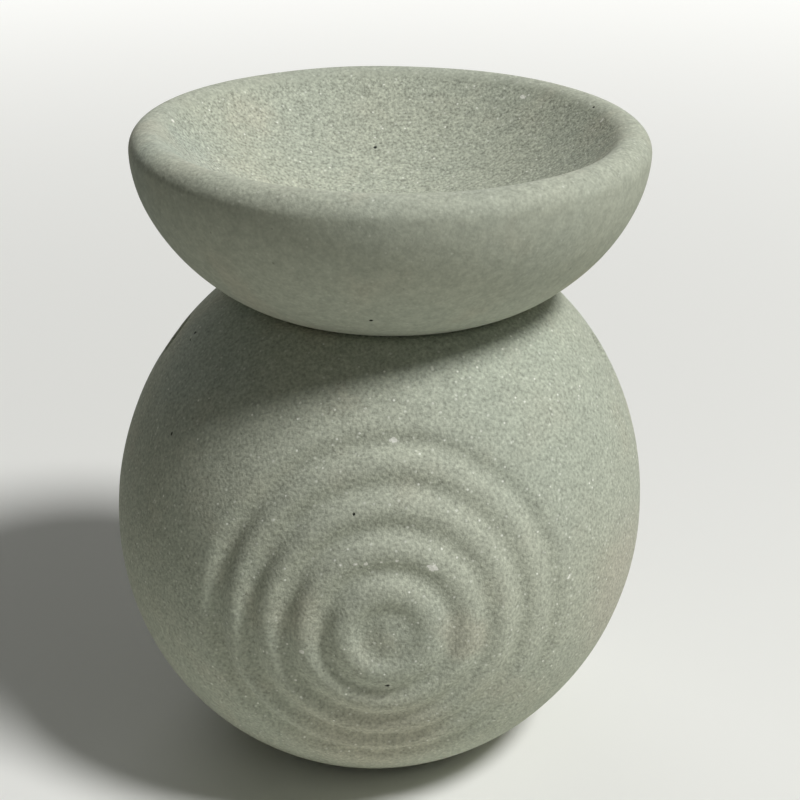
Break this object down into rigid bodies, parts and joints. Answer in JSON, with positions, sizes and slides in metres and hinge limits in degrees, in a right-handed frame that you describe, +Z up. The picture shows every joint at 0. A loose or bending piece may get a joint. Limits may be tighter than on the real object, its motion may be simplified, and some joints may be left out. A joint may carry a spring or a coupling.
{
  "type": "essential oil diffuser",
  "caption": "Tealight oil burner: hollow stoneware globe with ripple rings on its front, a rear door, shoulder vents and a loose thick-rimmed dish on the neck.",
  "frame": {"origin": "centre of the flat base on the surface it stands on, below the middle of the globe", "axes": "+Z up; -Y towards the rippled front; +Y towards the candle door; +X to the right seen from the front"},
  "size_m": [0.095, 0.0944, 0.1137],
  "materials": {
    "sandy_stoneware": "matte",
    "sandy_stoneware_dish": "matte",
    "cup_aluminium": "satin",
    "candle_wax": "satin",
    "tinned_steel": "satin",
    "cotton_wick": "matte"
  },
  "bodies": {
    "burner": {"burner_body": "sandy_stoneware"},
    "dish": {"oil_dish": "sandy_stoneware_dish"},
    "tealight": {"tealight_cup": "cup_aluminium", "tealight_wax": "candle_wax", "wick_sustainer": "tinned_steel", "tealight_wick": "cotton_wick"}
  },
  "joints": [
    {"name": "dish_lift", "type": "slide", "parent": "burner", "child": "dish", "axis": [0, 0, 1], "range_m": [0, 0.06]},
    {"name": "tealight_slide", "type": "slide", "parent": "burner", "child": "tealight", "axis": [0, 1, 0], "range_m": [0, 0.075]}
  ]
}
